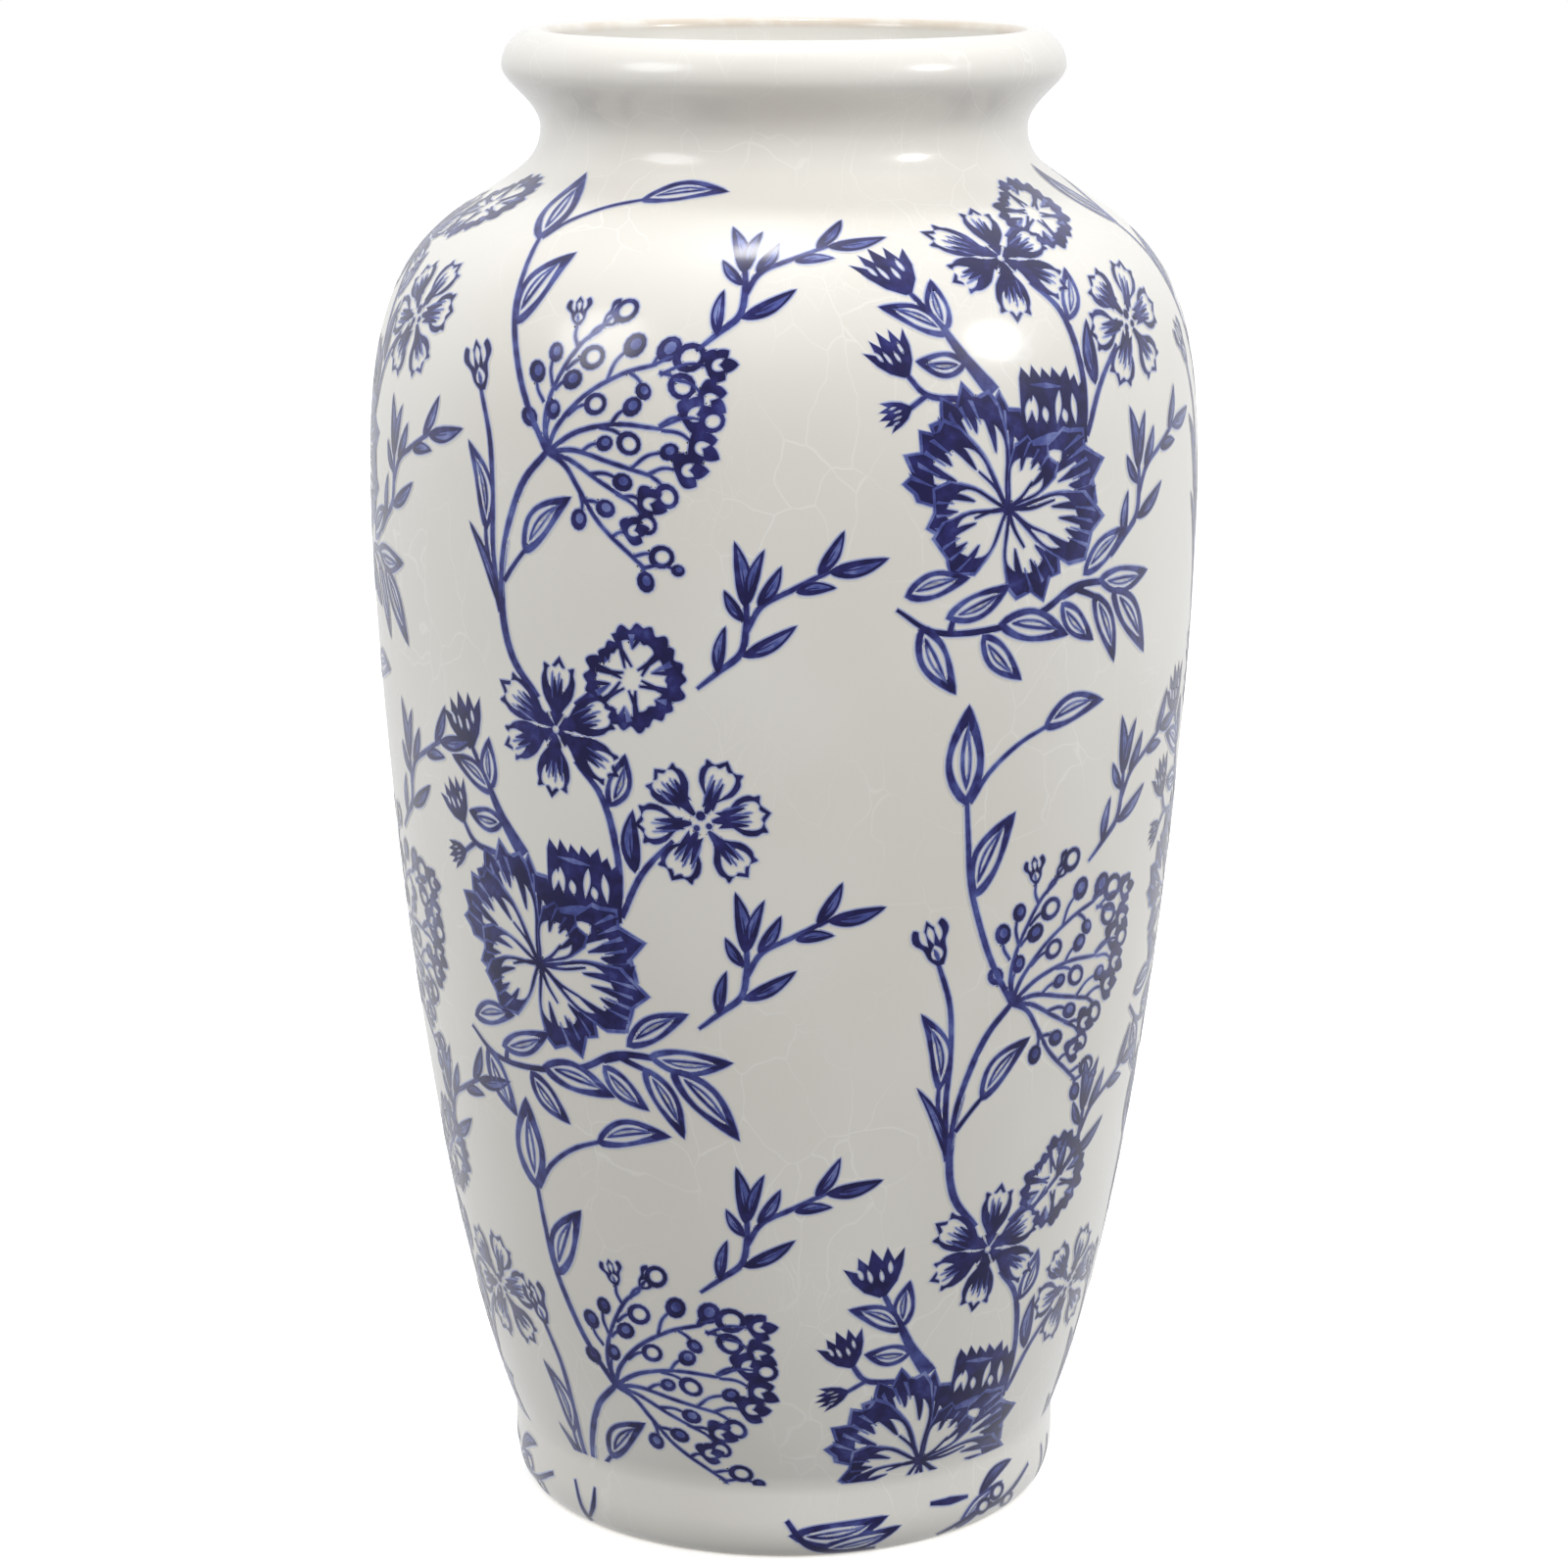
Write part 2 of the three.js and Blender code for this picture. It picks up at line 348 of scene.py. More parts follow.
def glaze_material():
    nodes = Nodes("printed glaze")
    ink = nodes.add("ShaderNodeAttribute", {"attribute_name": "ink"}).outputs["Fac"]
    cloud = nodes.band(nodes.noise(14, 3).outputs["Fac"], 0.35, 0.65)
    ground = nodes.mix(cloud, rgb(224, 220, 212), rgb(231, 228, 221))
    wide_patches = nodes.band(nodes.noise(24, 3).outputs["Fac"], 0.44, 0.6)
    fine_patches = nodes.band(nodes.noise(31, 3).outputs["Fac"], 0.48, 0.66)
    wide = nodes.math("MULTIPLY", craze_lines(nodes, 115, 0.02), wide_patches)
    fine = nodes.math("MULTIPLY", craze_lines(nodes, 300, 0.035), fine_patches)
    craze = nodes.math("MAXIMUM", wide, nodes.math("MULTIPLY", fine, 0.55))
    ground = nodes.mix(nodes.math("MULTIPLY", craze, 0.4), ground, rgb(246, 244, 239))
    specks = nodes.add("ShaderNodeTexVoronoi", Vector=nodes.place, Scale=42.0)
    speck = nodes.math("SUBTRACT", 1.0, nodes.band(specks.outputs["Distance"], 0.012, 0.02))
    ground = nodes.mix(nodes.math("MULTIPLY", speck, 0.7), ground, rgb(120, 108, 96))
    ground = nodes.mix(worn_edges(nodes), ground, rgb(190, 160, 122))
    mottle = nodes.math("ADD", nodes.noise(420, 4, 0.6).outputs["Fac"], nodes.noise(150, 2).outputs["Fac"])
    density = nodes.math("ADD", ink, nodes.math("MULTIPLY", nodes.math("SUBTRACT", mottle, 1.1), 0.7))
    pooled = nodes.ramp(density, [
        (0.0, rgb(182, 190, 218)), (0.34, rgb(138, 148, 198)), (0.6, rgb(74, 84, 152)),
        (0.84, rgb(38, 36, 104)), (1.0, rgb(20, 15, 72)),
    ])
    colour = nodes.mix(nodes.band(ink, 0.0, 0.3), ground, pooled)
    nodes.set(nodes.shader.inputs["Base Color"], colour)
    wave = nodes.add(
        "ShaderNodeBump", Height=nodes.noise(22, 1).outputs["Fac"], Strength=0.18, Distance=0.0012)
    grain = nodes.add(
        "ShaderNodeBump", Height=craze, Strength=0.12, Distance=0.00006, Normal=wave.outputs["Normal"])
    nodes.set(nodes.shader.inputs["Normal"], grain.outputs["Normal"])
    nodes.shader.inputs["Roughness"].default_value = 0.38
    nodes.shader.inputs["IOR"].default_value = 1.45
    nodes.shader.inputs["Coat Weight"].default_value = 0.6
    nodes.shader.inputs["Coat Roughness"].default_value = 0.15
    return nodes.material


def biscuit_material():
    nodes = Nodes("bare biscuit")
    cloud = nodes.noise(160, 5, 0.65).outputs["Fac"]
    colour = nodes.mix(nodes.band(cloud, 0.35, 0.7), rgb(196, 178, 146), rgb(224, 213, 190))
    nodes.set(nodes.shader.inputs["Base Color"], colour)
    grain = nodes.add(
        "ShaderNodeBump", Height=nodes.noise(2600, 3).outputs["Fac"], Strength=0.4, Distance=0.00008)
    nodes.set(nodes.shader.inputs["Normal"], grain.outputs["Normal"])
    nodes.shader.inputs["Roughness"].default_value = 0.82
    return nodes.material


# ---------------------------------------------------------------- drawing the print, flat, in millimetres

def pt(x, y):
    return np.array([x, y], float)


def smooth(points, steps=6):
    """A curve through the given points."""
    points = np.asarray(points, float)
    if len(points) == 2:
        return points[0] + np.linspace(0, 1, steps + 1)[:, None] * (points[1] - points[0])
    ends = np.vstack([2 * points[0] - points[1], points, 2 * points[-1] - points[-2]])
    t = np.linspace(0, 1, steps, endpoint=False)[:, None]
    spans = []
    for a, b, c, d in zip(ends, ends[1:], ends[2:], ends[3:]):
        squared = (2 * a - 5 * b + 4 * c - d) * t**2
        cubed = (3 * b - a - 3 * c + d) * t**3
        spans.append(0.5 * (2 * b + (c - a) * t + squared + cubed))
    return np.vstack(spans + [points[-1:]])


def stroke(points, *widths, steps=6):
    """A pen line through points, its width running through the given widths."""
    path = smooth(points, steps)
    share = np.linspace(0, 1, len(path))
    half = np.interp(share, np.linspace(0, 1, len(widths)), widths) / 2
    side = left_of(path) * half[:, None]
    return np.vstack([path + side, (path - side)[::-1]])


def blade(root, tip, low, high, start=0.0, stop=1.0, bend=0.0, steps=14, widest=0.42):
    """Part of a leaf between two lines that run from root to tip.

    low and high are the lines' greatest distances from the middle line, to its left; start and stop cut
    the leaf short at either end; bend bows the middle line to the left, as a share of the length.
    """
    root, tip = np.asarray(root, float), np.asarray(tip, float)
    along = tip - root
    left = np.array([-along[1], along[0]]) / np.linalg.norm(along)
    t = np.linspace(start, stop, steps + 1)
    power = math.log(0.5) / math.log(widest)
    swell = np.sin(math.pi * t**power) ** 0.85
    bow = np.sin(math.pi * t) * bend * np.linalg.norm(along)
    middle = root + t[:, None] * along + left * bow[:, None]
    centre, half = (low + high) / 2, (high - low) / 2
    taper = np.sin(math.pi * np.linspace(0, 1, steps + 1)) ** 0.6 if (start, stop) != (0.0, 1.0) else 1.0
    upper = middle + left * (swell * (centre + half * taper))[:, None]
    lower = middle + left * (swell * (centre - half * taper))[:, None]
    return np.vstack([upper, lower[::-1]])


def leaf(root, tip, width, bend=0.0, shade=1):
    """An outlined leaf: bare inside, with a looped vein, a wash beside it and a dark tip."""
    half = width / 2 * shade
    return [
        (LINE, blade(root, tip, -half, half, bend=bend)),
        (INK, blade(root, tip, -0.8 * half, 0.8 * half, 0.7, 1.0, bend)),
        (BARE, blade(root, tip, -0.7 * half, 0.66 * half, 0.1, 0.8, bend)),
        (LINE, blade(root, tip, -0.24 * half, 0.34 * half, 0.16, 0.78, bend)),
        (WASH, blade(root, tip, -0.02 * half, 0.3 * half, 0.24, 0.84, bend)),
        (BARE, blade(root, tip, -0.04 * half, 0.2 * half, 0.26, 0.66, bend)),
    ]


def dark_leaf(root, tip, width, bend=0.0, shade=1):
    """A small leaf of ink with a paler middle."""
    half = width / 2 * shade
    return [
        (INK, blade(root, tip, -half, half, bend=bend)),
        (WASH, blade(root, tip, -0.3 * half, 0.62 * half, 0.22, 0.88, bend)),
        (INK, blade(root, tip, -0.1 * half, 0.1 * half, 0.1, 0.6, bend)),
    ]


def spot(centre, radius, sides=12, stretch=1.0, turn=0.0):
    angle = np.linspace(0, 2 * math.pi, sides, endpoint=False)
    x, y = radius * stretch * np.cos(angle), radius * np.sin(angle)
    cos, sin = math.cos(math.radians(turn)), math.sin(math.radians(turn))
    return np.stack([centre[0] + x * cos - y * sin, centre[1] + x * sin + y * cos], 1)


def placed(outline, base, turn, length, width):
    """An outline given as (share of the length, share of the half width), put at base and turned."""
    outline = np.asarray(outline, float)
    ahead = heading(turn)
    left = np.array([-ahead[1], ahead[0]])
    return np.asarray(base) + outline[:, :1] * length * ahead + outline[:, 1:] * width / 2 * left


def mirrored(edge, steps=3):
    """A closed outline from one edge that runs from root to tip, and its mirror image."""
    line = smooth(edge, steps)
    other = line[::-1] * [1, -1]
    return np.vstack([line, other[1:-1] if abs(line[0][1]) < 1e-9 else other[1:]])


# Petal outlines: half of each, from root to tip, as shares of the length and of the half width.
POINTED = mirrored([
    (0, 0.12), (0.24, 0.3), (0.46, 0.84), (0.68, 1.0), (0.8, 0.88), (0.9, 0.9), (0.87, 0.46), (1.03, 0.0)])
SCALLOPED = mirrored([
    (0, 0.2), (0.3, 0.58), (0.62, 0.96), (0.86, 1.0), (0.96, 0.84), (0.9, 0.5), (1.06, 0.3), (1.0, 0.0)])
HEART = mirrored([(0, 0.0), (0.2, 0.42), (0.5, 0.86), (0.78, 0.9), (0.9, 0.56), (0.88, 0.3), (1.0, 0.0)])
CUP = mirrored([
    (0, 0.12), (0.22, 0.56), (0.5, 0.84), (0.86, 1.04), (0.68, 0.62), (1.0, 0.5), (0.76, 0.24), (1.08, 0.0),
], 1)


def petal(base, turn, length, width, start, streaks):
    """A petal that is dark up to start, then bare inside a dark edge, with streaks running in."""
    root = base + heading(turn) * length * start
    inner = placed(HEART, root, turn, length * (0.94 - start), width * 0.78)
    shapes = [(INK, placed(POINTED, base, turn, length, width)), (BARE, inner)]
    for row in range(streaks):
        lean = (row - (streaks - 1) / 2) * 0.44
        reach = 0.5 + 0.42 * start + 0.06 * math.cos(3 * lean)
        wash = blade((start, lean * 0.6 + 0.14), (reach + 0.08, lean + 0.16), -0.07, 0.07)
        streak = [(start - 0.04, lean * 0.5), ((start + reach) / 2, lean * 0.8), (reach, lean)]
        ink = stroke(streak, 0.34, 0.22, 0.06)
        shapes.append((WASH, placed(wash, base, turn, length, width)))
        shapes.append((INK, placed(ink, base, turn, length, width)))
    return shapes


def six_petalled(centre, radius, turn):
    """A flower of six separate pointed petals, its centre crossed by bare lines."""
    shapes = [(INK, spot(centre, radius * 0.26))]
    starts = (0.42, 0.3, 0.52, 0.36, 0.46, 0.34)
    for number, start in enumerate(starts):
        way = turn + number * 60 + 5 * math.sin(number * 2.0)
        length = radius * (1.0 + 0.08 * math.sin(number * 1.9))
        shapes += petal(centre, way, length, radius * 0.53, start, 2 + number % 2)
        between = heading(turn + 30 + number * 60)
        shapes.append((BARE, stroke([centre, centre + between * radius * 0.3], 0.35, 0.5)))
    for number in range(3):
        ray = centre + heading(turn + 40 + number * 110) * radius * 0.2
        shapes.append((INK, stroke([centre, ray], 0.7, 0.2)))
    shapes.append((BARE, spot(centre, radius * 0.06, 8)))
    return shapes


def starry(centre, radius, turn):
    """A flower of six separate petals round a bare middle with three dots."""
    shapes = []
    for number, start in enumerate((0.14, 0.32, 0.18, 0.12, 0.28, 0.16)):
        way = turn + number * 60 + 5 * math.sin(number * 1.7)
        ahead = heading(way)
        base = centre + ahead * radius * 0.2
        shapes += petal(base, way, radius * 0.84, radius * 0.64, start, 2 + number % 2)
        claw = [centre + ahead * radius * 0.16, centre + ahead * radius * 0.34]
        shapes.append((INK, stroke(claw, 0.5, 1.4)))
    for lean, reach, size in ((30, 0.11, 0.075), (160, 0.12, 0.05), (270, 0.12, 0.05)):
        shapes.append((INK, spot(centre + heading(turn + lean) * radius * reach, radius * size, 9)))
    return shapes


def ruffled(centre, radius, turn):
    """A ragged open flower: a dark edge, a bare middle and forked streaks running in."""
    shapes, lobes = [], 6
    middle = centre - heading(turn - 20) * radius * 0.08
    lengths = [radius * (1.02 + 0.12 * math.sin(number * 2.3)) for number in range(lobes)]
    ways = [turn + number * 360 / lobes + 7 * math.sin(number * 1.3) for number in range(lobes)]
    for way, length in zip(ways, lengths):
        shapes.append((INK, placed(SCALLOPED, centre, way, length, radius * 1.12)))
    for way, length in zip(ways, lengths):
        shapes.append((BARE, placed(HEART, middle, way, length * 0.8, radius * 0.84)))
    shapes.append((BARE, spot(middle, radius * 0.4, 12)))
    for number, (way, length) in enumerate(zip(ways, lengths)):
        edge = way + 180 / lobes
        fork = middle + heading(edge) * length * (0.5 + 0.08 * (number % 2))
        shapes.append((INK, stroke([middle + heading(edge) * length * 0.9, fork], 1.4, 0.7)))
        for lean in (-22, 12):
            shapes.append((INK, stroke([fork, middle + heading(edge + lean) * length * 0.24], 0.7, 0.3)))
        inner = middle + heading(way + 8) * length * (0.46 + 0.12 * (number % 3))
        shapes.append((INK, stroke([centre + heading(way) * length * 0.9, inner], 1.0, 0.3)))
        shapes.append((WASH, stroke([centre + heading(way + 14) * length * 0.86, inner], 1.1, 0.1)))
    return shapes


def saw(start, stop, depth, teeth, lean=0.3):
    """A toothed edge from start to stop, its teeth pointing to the right of the way it runs."""
    start, stop = np.asarray(start, float), np.asarray(stop, float)
    along = stop - start
    out = np.array([along[1], -along[0]]) / np.linalg.norm(along)
    points = []
    for tooth in range(teeth):
        points.append(start + along * tooth / teeth)
        size = depth * (0.75 + 0.5 * abs(math.sin(tooth * 2.1 + 0.6)))
        points.append(start + along * (tooth + 0.5 + lean) / teeth + out * size)
    return points + [stop]


def broad_petal(hub, turn, length, width, teeth, reach, streaks):
    """One petal of the peony: dark at its toothed rim, bare further in, with flames of ink between."""
    side = smooth([(0, 0), (0.16, 0.3), (0.42, 0.74), (0.74, 1.0)], 4)
    rim = []
    for step in np.linspace(0, 1, teeth + 1)[:-1]:
        angle = math.pi * (0.12 + 0.76 * step)
        after = math.pi * (0.12 + 0.76 * (step + 0.62 / teeth))
        rim.append((0.72 + 0.2 * math.sin(angle), 0.96 * math.cos(angle)))
        size = 0.23 + 0.1 * math.sin(after) ** 4 + 0.025 * math.sin(7 * step + turn)
        rim.append((0.74 + size * math.sin(after), 1.14 * math.cos(after)))
    outline = np.vstack([side, rim, (side * [1, -1])[::-1]])
    shapes = [
        (WASH, placed(outline, hub, turn, length * 1.035, width * 1.09)),
        (INK, placed(outline, hub, turn, length, width)),
    ]
    bare = blade((0.04, 0), (reach, 0), -0.76, 0.76, widest=0.64)
    shapes.append((BARE, placed(bare, hub, turn, length, width)))
    for row in range(streaks):
        share = (row + 0.5) / streaks * 2 - 1
        depth = reach * (0.54 + 0.13 * ((row * 2) % 3))
        flame = [(0.9, share * 0.86), ((0.9 + depth) / 2, share * 0.76), (depth, share * 0.5)]
        shapes.append((INK, placed(stroke(flame, 0.26, 0.2, 0.03), hub, turn, length, width)))
        wash = stroke([(0.92, share * 0.7 + 0.12), (reach * 0.86, share * 0.6 + 0.1)], 0.12, 0.02)
        shapes.append((WASH, placed(wash, hub, turn, length, width)))
    return shapes


def tulip(base, turn, length, width):
    """A half open bud: a toothed cup of ink with a few bare flecks."""
    shapes = [(INK, placed(CUP, base, turn, length, width))]
    for lean, start, stop in ((-0.5, 0.42, 0.72), (-0.12, 0.3, 0.6), (0.3, 0.36, 0.7), (0.62, 0.5, 0.78)):
        fleck = blade((start, lean * 0.8), (stop, lean), -0.09, 0.09)
        shapes.append((BARE, placed(fleck, base, turn, length, width)))
    return shapes


def carnation(base, turn, length, width):
    """A bud like a small cup of petals, bare inside."""
    half = [(0, 0.16), (0.24, 0.5), (0.5, 0.62), (0.74, 1.0), (1.0, 0.78), (0.86, 0.34), (1.08, 0.0)]
    bowl = blade((0.12, 0.0), (0.5, 0.0), -0.34, 0.34)
    shapes = [(INK, placed(mirrored(half), base, turn, length, width))]
    shapes.append((BARE, placed(bowl, base, turn, length, width)))
    for lean in (-0.52, 0.0, 0.52):
        inner = blade((0.5, lean * 0.6), (0.96, lean), -0.2, 0.2, widest=0.6)
        shapes.append((BARE, placed(inner, base, turn, length, width)))
    shapes.append((WASH, placed(blade((0.1, 0.0), (0.42, 0.1), -0.1, 0.1), base, turn, length, width)))
    return shapes


def berry(centre, radius, turn=0.0):
    """A ring with a bare middle."""
    middle = centre + heading(turn) * radius * 0.08
    return [(INK, spot(centre, radius, 14, 1.15, turn)), (BARE, spot(middle, radius * 0.6, 12, 1.15, turn))]


def floret(centre, size, turn):
    """A tiny ragged flower at the end of a rib."""
    shapes = []
    for lean, length in ((-52, 1.0), (-8, 1.3), (34, 1.05), (74, 0.8)):
        tip = centre + heading(turn + lean) * size * length
        root = centre - heading(turn) * size * 0.3
        shapes.append((INK, blade(root, tip, -size * 0.36, size * 0.36, widest=0.6)))
    for lean, length in ((-30, 0.66), (22, 0.7)):
        tip = centre + heading(turn + lean) * size * length
        shapes.append((BARE, blade(centre, tip, -size * 0.17, size * 0.17)))
    return shapes


# The umbel's ribs, from its hub; then its twigs with what they end in and how big that is.
UMBEL_RIBS = [
    [(0, 0), (-0.6, 5), (0.6, 10), (4.2, 16.6), (7.4, 19.4)],
    [(0, 0), (1.8, 4.2), (6.2, 9), (12, 12.6), (17.6, 14.4)],
    [(0, 0), (5.2, 3.4), (12, 5), (19.4, 4.6)],
    [(0, 0), (5, 0.6), (11, -0.8), (18.2, -2.6)],
    [(0, 0), (4.4, -1), (9.4, -3.8), (14.6, -6.6)],
    [(0, 0), (3.4, -1.8), (6.0, -5.4), (9.6, -10.4), (14.4, -14.6), (17.2, -17)],
]
UMBEL_TWIGS = [
    ((4.0, 16.4), (3.2, 20.2), "bud", 4.4), ((5.6, 17.8), (8.0, 20.4), "bud", 4.4),
    ((7.2, 19.2), (10.8, 22.6), "berry", 1.9), ((-1.0, 7.6), (-2.8, 12.2), "solid", 1.5),
    ((0.4, 10.2), (0.2, 15.4), "solid", 1.3), ((0.8, 9.6), (3.8, 11.4), "solid", 1.5),
    ((2.4, 12.8), (6.8, 15.0), "berry", 1.9), ((-1.0, 2.6), (-3.6, 5.2), "solid", 1.4),
    ((0.2, 1.0), (0.8, 6.6), "solid", 1.3), ((3.4, 5.8), (8.2, 7.9), "berry", 1.7),
    ((9.8, 11.4), (13.6, 17.2), "solid", 1.7), ((13.4, 13.0), (16.0, 10.2), "solid", 1.2),
    ((11.0, 4.8), (14.4, 7.8), "solid", 1.4), ((9.2, 4.4), (14.2, 2.2), "berry", 1.8),
    ((6.2, 0.4), (10.2, 2.0), "solid", 1.2), ((17.0, 14.2), (19.2, 16.8), "solid", 1.8),
    ((17.4, 14.4), (22.6, 15.6), "berry", 2.3), ((18.4, 12.8), (26.2, 14.4), "floret", 3.2),
    ((18.2, 13.2), (22.0, 11.2), "berry", 2.0), ((20.6, 12.2), (25.6, 9.8), "floret", 3.4),
    ((19.0, 5.0), (23.4, 6.6), "floret", 3.6), ((19.0, 4.8), (27.2, 6.0), "berry", 1.8),
    ((19.4, 4.4), (24.8, 2.4), "floret", 3.4), ((14.6, -1.8), (20.8, 1.2), "solid", 1.3),
    ((17.4, -2.4), (22.8, -1.6), "floret", 3.4), ((18.0, -2.6), (20.6, -5.6), "berry", 1.8),
    ((7.8, -2.8), (13.4, -3.8), "solid", 1.4), ((13.4, -6.0), (16.8, -6.6), "floret", 3.2),
    ((12.4, -5.6), (17.4, -10.0), "berry", 1.6), ((6.2, -5.8), (6.0, -10.0), "solid", 1.4),
    ((7.0, -7.0), (10.6, -8.0), "solid", 1.4), ((11.6, -12.4), (14.4, -11.4), "floret", 2.8),
    ((15.2, -15.2), (19.8, -15.0), "berry", 1.8), ((16.4, -16.4), (17.2, -19.0), "solid", 1.4),
    ((17.0, -16.8), (22.4, -17.0), "solid", 0.9),
]


def umbel():
    """The spreading head of ribs, berries and small flowers. Its hub is the garland's own zero."""
    shapes = [(LINE, stroke(rib, 0.8, 0.65, 0.55)) for rib in UMBEL_RIBS]
    for start, tip, ending, size in UMBEL_TWIGS:
        start, tip = pt(*start), pt(*tip)
        way = tip - start
        turn = math.degrees(math.atan2(way[1], way[0]))
        knee = start + way * 0.5 + np.array([-way[1], way[0]]) * 0.12
        shapes.append((LINE, stroke([start, knee, tip], 0.55, 0.38)))
        if ending == "berry":
            shapes += berry(tip, size, turn)
        elif ending == "solid":
            shapes.append((INK, spot(tip, size, 12, 1.2, turn)))
            shapes.append((WASH, spot(tip + [0.15, 0.2], size * 0.5, 9, 1.2, turn)))
        elif ending == "bud":
            shapes += carnation(tip - way * 0.1, turn, size, size)
        else:
            shapes += floret(tip, size, turn)
    return shapes


def upper_stems():
    """The stems and three leaves that rise above the umbel, and the bud and narrow leaves to its left."""
    lines = [
        ([(-11.2, 36), (-10.4, 28), (-9.2, 20), (-5.2, 9), (0, 0)], (0.7, 0.9, 1.0, 0.9)),
        ([(-10.6, 35), (-7.4, 39.6), (-2.2, 43.6), (3.6, 46)], (0.9, 0.7, 0.6)),
        ([(-14.4, 9), (-11.6, 1), (-10.8, -8), (-10.8, -17), (-9.2, -27)], (0.7, 0.9, 0.9, 0.9)),
        ([(-12.4, -13), (-12.0, -17), (-9.6, -26)], (0.6, 0.8, 0.9)),
    ]
    shapes = [(LINE, stroke(points, *widths)) for points, widths in lines]
    shapes += leaf((-11.2, 34.5), (-11.6, 51), 6.6, 0.03, -1)
    shapes += leaf((2.6, 45.6), (16.2, 48.4), 4.6, 0.1, 1)
    shapes += leaf((-8.8, 19), (-2.0, 32.6), 5.6, 0.08, 1)
    shapes += leaf((-12.2, -13.5), (-16.6, 0.4), 3.8, -0.12, 1)
    shapes += dark_leaf((-9.6, -25.5), (-16.2, -12.4), 1.9, -0.06, 1)
    shapes += carnation((-13.8, 8.4), 112, 7.6, 6.4)
    return shapes


def main_stem():
    """The stem from the umbel down to the six-petalled flower, with its leaf."""
    stem = [(0, 0), (-4.8, -5.6), (-8.2, -15), (-9.2, -25), (-7.4, -33), (-2.6, -39)]
    shapes = [(LINE, stroke(stem, 0.9, 1.2, 1.3, 1.1))]
    shapes.append((BARE, stroke([(-5.4, -8), (-8.0, -16), (-8.9, -24)], 0.1, 0.35, 0.1)))
    shapes.append((INK, stroke([(-8.6, -21), (-6.6, -18.4), (-3.6, -15)], 0.8, 0.6)))
    shapes += leaf((-4.4, -16.2), (4.6, -6.6), 4.6, 0.1, -1)
    return shapes


def side_flowers():
    """The three open flowers, and the stems and leaves between them and the peony."""
    lines = [
        ([(4, -48.6), (8.4, -54), (10.4, -62), (10.6, -69), (9.6, -75)], (0.8, 1.1, 1.1, 1.0)),
        ([(20, -60.2), (14.6, -66), (10.6, -73.6)], (0.7, 0.9, 1.0)),
        ([(4.6, -39.6), (9, -36.4)], (1.2, 1.2)),
    ]
    shapes = [(LINE, stroke(points, *widths)) for points, widths in lines]
    shapes += leaf((9.6, -55.5), (12.8, -46.6), 4.0, -0.06, -1)
    shapes += dark_leaf((13.4, -66), (13.6, -55.6), 3.2, 0.06, 1)
    shapes += ruffled(pt(15.0, -34.6), 7.6, 12)
    shapes += six_petalled(pt(0.6, -43.8), 11.6, 84)
    shapes += starry(pt(24.8, -57.0), 10.4, 66)
    return shapes


def side_buds():
    """The three buds and their leaves, up and to the left of the peony."""
    lines = [
        ([(-18.2, -48.6), (-14.4, -55), (-11.6, -60), (-7.4, -65.6)], (0.7, 1.1, 1.6, 2.6)),
        ([(-21.6, -62), (-18.6, -65.4), (-13, -66.4), (-8, -68)], (0.7, 0.9, 1.4)),
        ([(-22, -67.6), (-20.2, -66.4), (-18.6, -65.4)], (0.7, 0.7)),
    ]
    shapes = [(LINE, stroke(points, *widths)) for points, widths in lines]
    shapes += leaf((-13.6, -55.6), (-13.6, -47), 3.8, 0.06, 1)
    shapes += leaf((-13.6, -56.4), (-23.6, -51.4), 4.0, -0.08, -1)
    shapes += leaf((-11.4, -60.8), (-19.8, -60.2), 4.0, 0.05, 1)
    shapes += tulip((-18.0, -49.4), 108, 8.6, 10.0)
    shapes += tulip((-21.4, -62.4), 118, 7.2, 7.6)
    shapes += tulip((-21.4, -67.2), 200, 5.0, 4.6)
    return shapes


# The peony's petals, in the order they are painted: way that each points, length, width, teeth, how far
# out its bare middle reaches, and its flames.
PEONY_PETALS = [
    (94, 16.5, 8.5, 3, 0.78, 2), (117, 19.5, 12, 4, 0.84, 4), (147, 18.5, 12.5, 4, 0.82, 4),
    (179, 13.5, 9, 2, 0.82, 3), (213, 13.5, 9.5, 2, 0.8, 3), (-63, 15, 10.5, 3, 0.78, 3),
    (19, 18.8, 14, 3, 0.82, 5), (-17, 19, 11, 2, 0.8, 4), (53, 11.5, 9, 3, 0.8, 3),
]
PEONY_HUB = pt(-5.6, -83.6)


def upright_cup(corner):
    """The peony's upright inner petals: a dark cup with a toothed top and bare teeth inside."""
    wide, tall = 13.5, 10.0
    top = saw(corner + pt(wide, tall * 0.6), corner + pt(wide * 0.62, tall * 0.92), 1.3, 3)
    top += saw(corner + pt(wide * 0.6, tall * 0.88), corner + pt(0, tall * 0.94), 1.5, 4)
    shapes = [(INK, np.vstack([[corner - pt(0.6, 3), corner + pt(wide * 0.96, -1.6)], top]))]
    for row in range(6):
        foot = corner + pt(0.7 + row * 2.0, 2.3 - 0.2 * row)
        tip = foot + pt(0.9 * math.cos(row * 2.1), 3.9 + 1.4 * math.sin(row * 2.7))
        shapes.append((BARE, blade(foot, tip, -0.7, 0.7, widest=0.55)))
    foot_line = [corner + pt(0, -1.2), corner + pt(6, -0.4), corner + pt(12, -1.6)]
    shapes.append((WASH, stroke(foot_line, 0.8, 1.9, 0.8)))
    shapes.append((WASH, stroke([corner + pt(2, 8.2), corner + pt(8, 7.4)], 0.2, 0.9, 0.2)))
    return shapes


